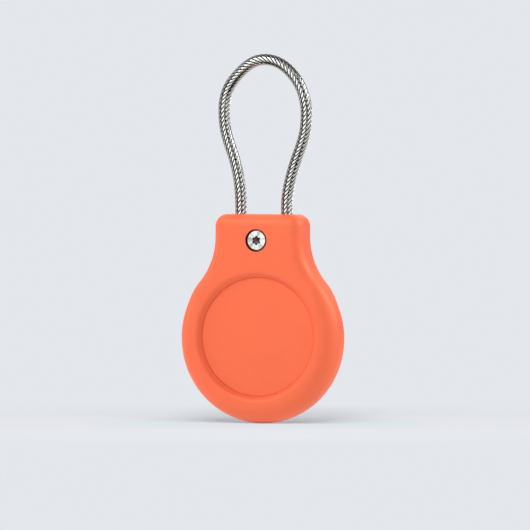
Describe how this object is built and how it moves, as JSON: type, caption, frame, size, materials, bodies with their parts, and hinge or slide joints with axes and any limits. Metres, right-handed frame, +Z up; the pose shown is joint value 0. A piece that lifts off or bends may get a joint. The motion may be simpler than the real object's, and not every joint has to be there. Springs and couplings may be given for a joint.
{
  "type": "trackable luggage tag",
  "caption": "Round moulded luggage tag that holds a radio tracker, with a wire rope loop clamped in its neck by a screw.",
  "frame": {"origin": "underside of the top of the wire rope loop, in the case's middle plane, where the tag hangs", "axes": "+Z up along the hanging tag, +X to the right seen from the front, front face towards -Y"},
  "size_m": [0.0426, 0.01, 0.0923],
  "materials": {
    "case_plastic": "satin",
    "cap_plastic": "satin",
    "base_plastic": "matte",
    "insert_brass": "satin",
    "screw_steel": "polished",
    "washer_steel": "satin",
    "cable_steel": "polished",
    "sleeve_aluminium": "satin",
    "cushion_rubber": "matte",
    "door_steel": "satin",
    "seal_rubber": "matte",
    "cell_steel": "satin",
    "contact_steel": "satin",
    "board_laminate": "satin",
    "can_steel": "satin",
    "chip_plastic": "matte",
    "antenna_copper": "satin",
    "sounder_brass": "satin",
    "sounder_ceramic": "satin",
    "pin_brass": "polished"
  },
  "bodies": {
    "case_front": {"front_cover": "case_plastic", "tracker_cap": "cap_plastic", "tracker_base": "base_plastic", "wire_cable": "cable_steel", "left_sleeve": "sleeve_aluminium", "right_sleeve": "sleeve_aluminium", "front_cushion_ring": "cushion_rubber", "coin_cell": "cell_steel", "negative_contact": "contact_steel", "positive_contacts": "contact_steel", "circuit_board": "board_laminate", "shield_can": "can_steel", "board_components": "chip_plastic", "antenna_ring": "antenna_copper", "sounder_plate": "sounder_brass", "sounder_ceramic": "sounder_ceramic", "sounder_contacts": "pin_brass"},
    "case_rear": {"rear_cover": "case_plastic", "threaded_insert": "insert_brass", "rear_cushion_ring": "cushion_rubber"},
    "washer_ring": {"screw_washer": "washer_steel"},
    "screw_turning": {"clamp_screw": "screw_steel"},
    "door_turning": {"battery_door": "door_steel", "door_seal": "seal_rubber"}
  },
  "joints": [
    {"name": "cover_swing", "type": "hinge", "parent": "case_front", "child": "case_rear", "pos_m": [0, 0.002, -0.08921], "axis": [-1, 0, 0], "range_deg": [0, 40]},
    {"name": "screw_travel", "type": "slide", "parent": "case_front", "child": "washer_ring", "axis": [0, -1, 0], "range_m": [0, 0.0038]},
    {"name": "screw_turn", "type": "hinge", "parent": "washer_ring", "child": "screw_turning", "pos_m": [0, -0.0047, -0.04372], "axis": [0, -1, 0], "range_deg": [0, 3040]},
    {"name": "door_twist", "type": "hinge", "parent": "case_front", "child": "door_turning", "pos_m": [0, 0, -0.06783], "axis": [0, 1, 0], "range_deg": [0, 30]}
  ],
  "couplings": [
    {"joint": "screw_turn", "follows": "screw_travel", "rad_per_m": 13963}
  ]
}
